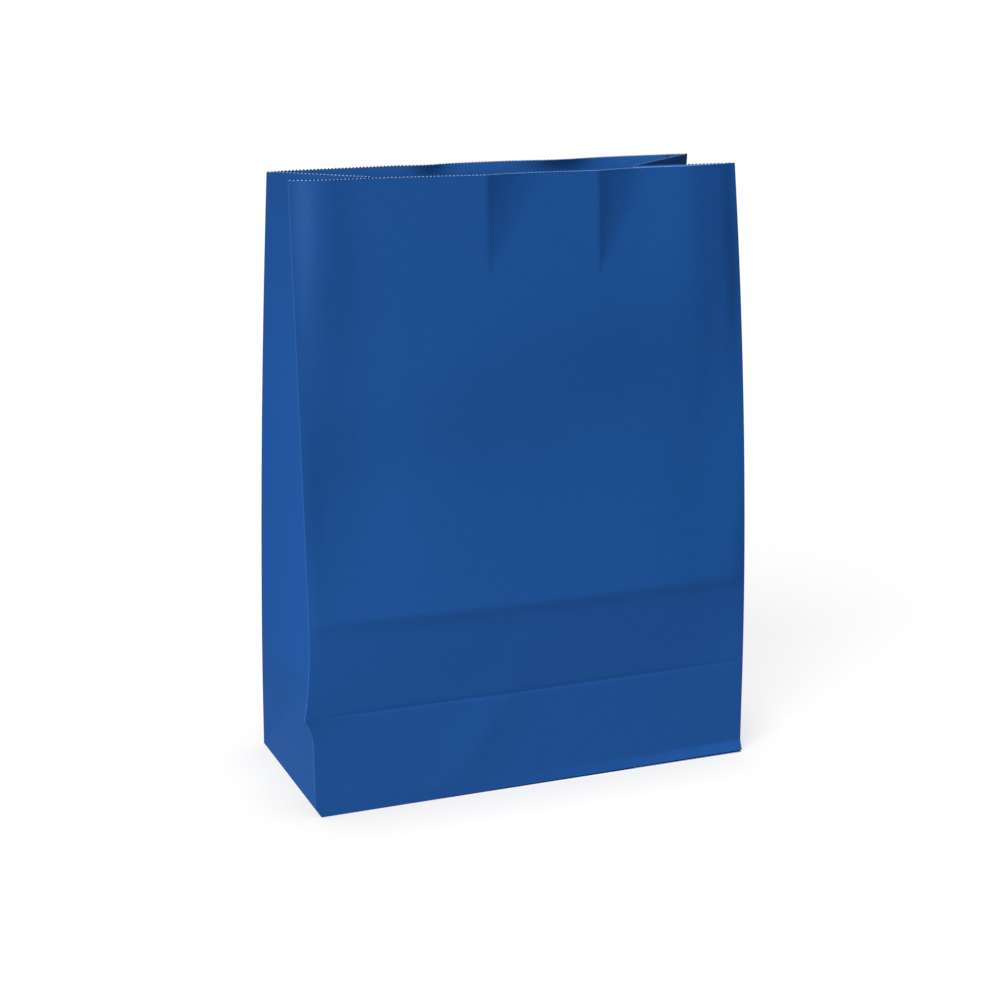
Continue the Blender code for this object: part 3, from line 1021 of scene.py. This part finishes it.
@dataclass
class BottomFlaps:
    """Flaps folded in under the bag: end flaps on top, the back flap under them and the front flap lowest."""

    lap: float = 20.0 * MM
    inset: float = 0.16 * MM
    pitch: float = 2.1 * MM
    tooth_depth: float = 0.8 * MM
    name: str = "bottom_flaps"

    def pinked_run(self, start: Plan, end: Plan) -> list[Plan]:
        """Toothed cut line.

        Args:
            start: where it starts, in plan.
            end: where it ends.

        Returns:
            Points in plan, with the teeth to the right of the way it runs.
        """
        length = math.dist(start, end)
        teeth = max(1, round(length / self.pitch))
        ux, uy = (end[0] - start[0]) / length, (end[1] - start[1]) / length
        points = []
        for k in range(2 * teeth + 1):
            out = self.tooth_depth if k % 2 else 0.0
            far = length * k / (2 * teeth)
            points.append((start[0] + ux * far + uy * out, start[1] + uy * far - ux * out))
        return points

    def plate(self, shape: bmesh.types.BMesh, outline: list[Plan], low: float, high: float) -> None:
        """Add a closed plate, its edge in the cut finish.

        Args:
            shape: mesh to add it to.
            outline: its outline in plan, anticlockwise.
            low: height of its underside.
            high: height of its top.
        """
        bottom = [shape.verts.new((x, y, low)) for x, y in outline]
        top = [shape.verts.new((x, y, high)) for x, y in outline]
        shape.faces.new(bottom[::-1]).material_index = Zone.OUTSIDE.value
        shape.faces.new(top).material_index = Zone.INSIDE.value
        for i in range(len(outline)):
            j = (i + 1) % len(outline)
            shape.faces.new((bottom[i], bottom[j], top[j], top[i])).material_index = Zone.CUT.value

    def build(self, sheet: BagSheet, materials: list[bpy.types.Material]) -> bpy.types.Object:
        """Make the four flaps.

        Args:
            sheet: the sheet, for the size of the bottom.
            materials: outside, inside and cut edge, in that order.

        Returns:
            One object holding four closed plates.
        """
        ply = sheet.paper
        half = sheet.panel_width / 2 - max(fold.tuck for fold in sheet.folds) - ply - self.inset
        fold = sheet.gusset_width / 2 - ply - self.inset
        reach = (sheet.gusset_width + self.lap) / 2
        free = fold - reach
        short = half - reach
        shape = bmesh.new()
        back = [(half, fold), (-half, fold)] + self.pinked_run((-short, free), (short, free))
        front = [(-x, -y) for x, y in back]
        self.plate(shape, front, 0.0, ply)
        self.plate(shape, back, ply, 2 * ply)
        left = [(-half, fold), (-half, -fold), (-short, -fold)]
        left += self.pinked_run((-short, -fold), (-short, fold))[1:-1] + [(-short, fold)]
        right = [(-x, -y) for x, y in left]
        for flap in (left, right):
            self.plate(shape, flap, 2 * ply, 3 * ply)
        for vert in shape.verts:
            vert.co.x += sheet.shift[0]
            vert.co.y += sheet.shift[1]
        mesh = bpy.data.meshes.new(self.name)
        shape.to_mesh(mesh)
        shape.free()
        for material in materials:
            mesh.materials.append(material)
        return placed(self.name, mesh)


@dataclass(frozen=True)
class Lamp:
    """One far, wide, soft lamp. Its azimuth runs from straight in front of the bag towards its right."""

    name: str
    azimuth: float
    height: float
    spread: float
    strength: float
    away: float = 2.0

    def build(self) -> bpy.types.Object:
        """Make the lamp.

        Returns:
            The lamp, turned towards the bag.
        """
        light = bpy.data.lights.new(self.name, "SUN")
        light.angle = math.radians(self.spread)
        light.energy = self.strength
        made = placed(self.name, light)
        azimuth, height = math.radians(self.azimuth), math.radians(self.height)
        place = Vector(
            (math.sin(azimuth) * math.cos(height), -math.cos(azimuth) * math.cos(height), math.sin(height))
        )
        made.location = place * self.away
        made.rotation_euler = (-place).to_track_quat("-Z", "Y").to_euler()
        return made


@dataclass
class Studio:
    """White floor, a soft lamp and the camera at the photograph's viewing angle."""

    camera_place: tuple[float, float, float] = (-0.4155, -1.04015, 0.4443)
    yaw: float = 21.79
    pitch: float = 14.56
    lens: float = 71.86
    sensor: float = 36.0
    nearest: float = 0.01
    floor_half: float = 60.0
    ambient: float = 0.08
    near_tone: float = 0.25
    far_tone: float = 0.12
    near_reach: tuple[float, float] = (0.32, 0.42)
    floor_seen: float = 0.16
    floor_glow: float = 0.87
    painted_contact_shade: float = 0.35
    painted_contact_reach: float = 0.06
    contact_samples: int = 8
    lamps: tuple[Lamp, ...] = (Lamp("key_lamp", -48.0, 40.0, 34.0, 4.55),)

    def add_camera(self) -> None:
        """Make the camera and set it on the scene."""
        yaw, pitch = math.radians(self.yaw), math.radians(self.pitch)
        level = math.cos(pitch)
        ahead = Vector((math.sin(yaw) * level, math.cos(yaw) * level, -math.sin(pitch)))
        right = Vector((math.cos(yaw), -math.sin(yaw), 0.0))
        up = right.cross(ahead)
        data = bpy.data.cameras.new("camera")
        data.sensor_width = self.sensor
        data.lens = self.lens
        data.clip_start = self.nearest
        made = placed("camera", data)
        turned = Matrix((right, up, -ahead)).transposed().to_4x4()
        made.matrix_world = Matrix.Translation(self.camera_place) @ turned
        bpy.context.scene.camera = made

    def add_world(self) -> None:
        """White surroundings for the camera, softer ambient light for the rest."""
        world = bpy.data.worlds.new("studio")
        make = cleared(world)
        path = make.add("ShaderNodeLightPath")
        strength = make.add(
            "ShaderNodeMix",
            {0: path.outputs["Is Camera Ray"], "A": self.ambient, "B": 1.0},
            data_type="FLOAT",
        )
        sky = make.add("ShaderNodeBackground", {"Color": WHITE, "Strength": strength.outputs["Result"]})
        out = make.add("ShaderNodeOutputWorld")
        make.join(sky.outputs[0], out.inputs["Surface"])
        bpy.context.scene.world = world

    def add_floor(self) -> bpy.types.Object:
        """Make the floor, which is white to the camera except where the bag's shadow falls and where a
        painted contact shade darkens it next to the bag.

        Returns:
            The floor.
        """
        mesh = bpy.data.meshes.new("floor")
        half = self.floor_half
        corners = [(-half, -half, 0.0), (half, -half, 0.0), (half, half, 0.0), (-half, half, 0.0)]
        mesh.from_pydata(corners, [], [(0, 1, 2, 3)])
        floor = placed("floor", mesh)
        material = bpy.data.materials.new("white_floor")
        make = cleared(material)
        path = make.add("ShaderNodeLightPath")
        place = make.add("ShaderNodeTexCoord").outputs["Object"]
        away = make.add("ShaderNodeVectorMath", {0: place}, operation="LENGTH")
        tone = make.add(
            "ShaderNodeMapRange",
            {
                "Value": away.outputs["Value"],
                "From Min": self.near_reach[0],
                "From Max": self.near_reach[1],
                "To Min": self.near_tone,
                "To Max": self.far_tone,
            },
        )
        plain = make.add("ShaderNodeBsdfDiffuse", {"Color": tone.outputs[0]})
        seen_plain = make.add("ShaderNodeBsdfDiffuse", {"Color": (*[self.floor_seen] * 3, 1.0)})
        # Painted contact shade: the floor's glow to the camera is darkened by ambient occlusion close to the
        # bag.
        open_sky = make.add(
            "ShaderNodeAmbientOcclusion", {"Distance": self.painted_contact_reach}, samples=self.contact_samples
        )
        shaded = self.floor_glow - self.painted_contact_shade
        strength = make.math("MULTIPLY_ADD", open_sky.outputs["AO"], self.painted_contact_shade, shaded)
        glow = make.add("ShaderNodeEmission", {"Color": WHITE, "Strength": strength})
        lit = make.add("ShaderNodeAddShader", {0: seen_plain.outputs[0], 1: glow.outputs[0]})
        seen = make.add(
            "ShaderNodeMixShader", {0: path.outputs["Is Camera Ray"], 1: plain.outputs[0], 2: lit.outputs[0]}
        )
        out = make.add("ShaderNodeOutputMaterial")
        make.join(seen.outputs[0], out.inputs["Surface"])
        mesh.materials.append(material)
        return floor

    def build(self) -> None:
        """Set up the whole studio."""
        self.add_camera()
        self.add_world()
        self.add_floor()
        for lamp in self.lamps:
            lamp.build()
        bpy.context.scene.view_settings.view_transform = "Standard"
        LOG.info("studio: lamps %d", len(self.lamps))


@dataclass
class PaperBag:
    """The whole bag: its finishes and its pieces."""

    # The outside's lighter fold tone is partly wear, partly a painted highlight along the folds.
    outside: PaperFinish = PaperFinish(
        "blue_paper_outside", (0.007, 0.074, 0.285), 0.08, 0.52, 0.22, worn_and_highlight=(0.03, 0.13, 0.42)
    )
    # The inside tone is painted lighter than the outside to stand in for light shining through the paper and
    # bouncing inside the bag; the paper itself is the same blue on both faces.
    inside: PaperFinish = PaperFinish("blue_paper_inside", (0.018, 0.120, 0.410), 0.08, 0.56, 0.25)
    cut: PaperFinish = PaperFinish("cut_paper_edge", (0.42, 0.52, 0.66), 0.25, 0.85, 0.3)
    sheet: BagSheet = field(default_factory=BagSheet)
    edge: PinkedEdge = field(default_factory=PinkedEdge)
    flaps: BottomFlaps = field(default_factory=BottomFlaps)

    def build(self) -> list[bpy.types.Object]:
        """Make every piece and tie it to the bag's body.

        Returns:
            The pieces.
        """
        grain = PaperGrain().build()
        materials = [finish.build(grain) for finish in (self.outside, self.inside, self.cut)]
        pieces = [
            self.sheet.build(materials),
            self.edge.build(self.sheet, materials[Zone.OUTSIDE.value], materials[Zone.CUT.value]),
            self.flaps.build(self.sheet, materials),
        ]
        for piece in pieces:
            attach(piece, "root")
            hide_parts(NODE)
            LOG.info("%s: %d faces", piece.name, len(piece.data.polygons))
        return pieces


def main() -> None:
    """Build the studio and the bag."""
    logging.basicConfig(level=logging.INFO, format="%(name)s %(message)s")
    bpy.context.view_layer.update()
    Studio().build()
    PaperBag().build()


if __name__ == "__main__":
    main()
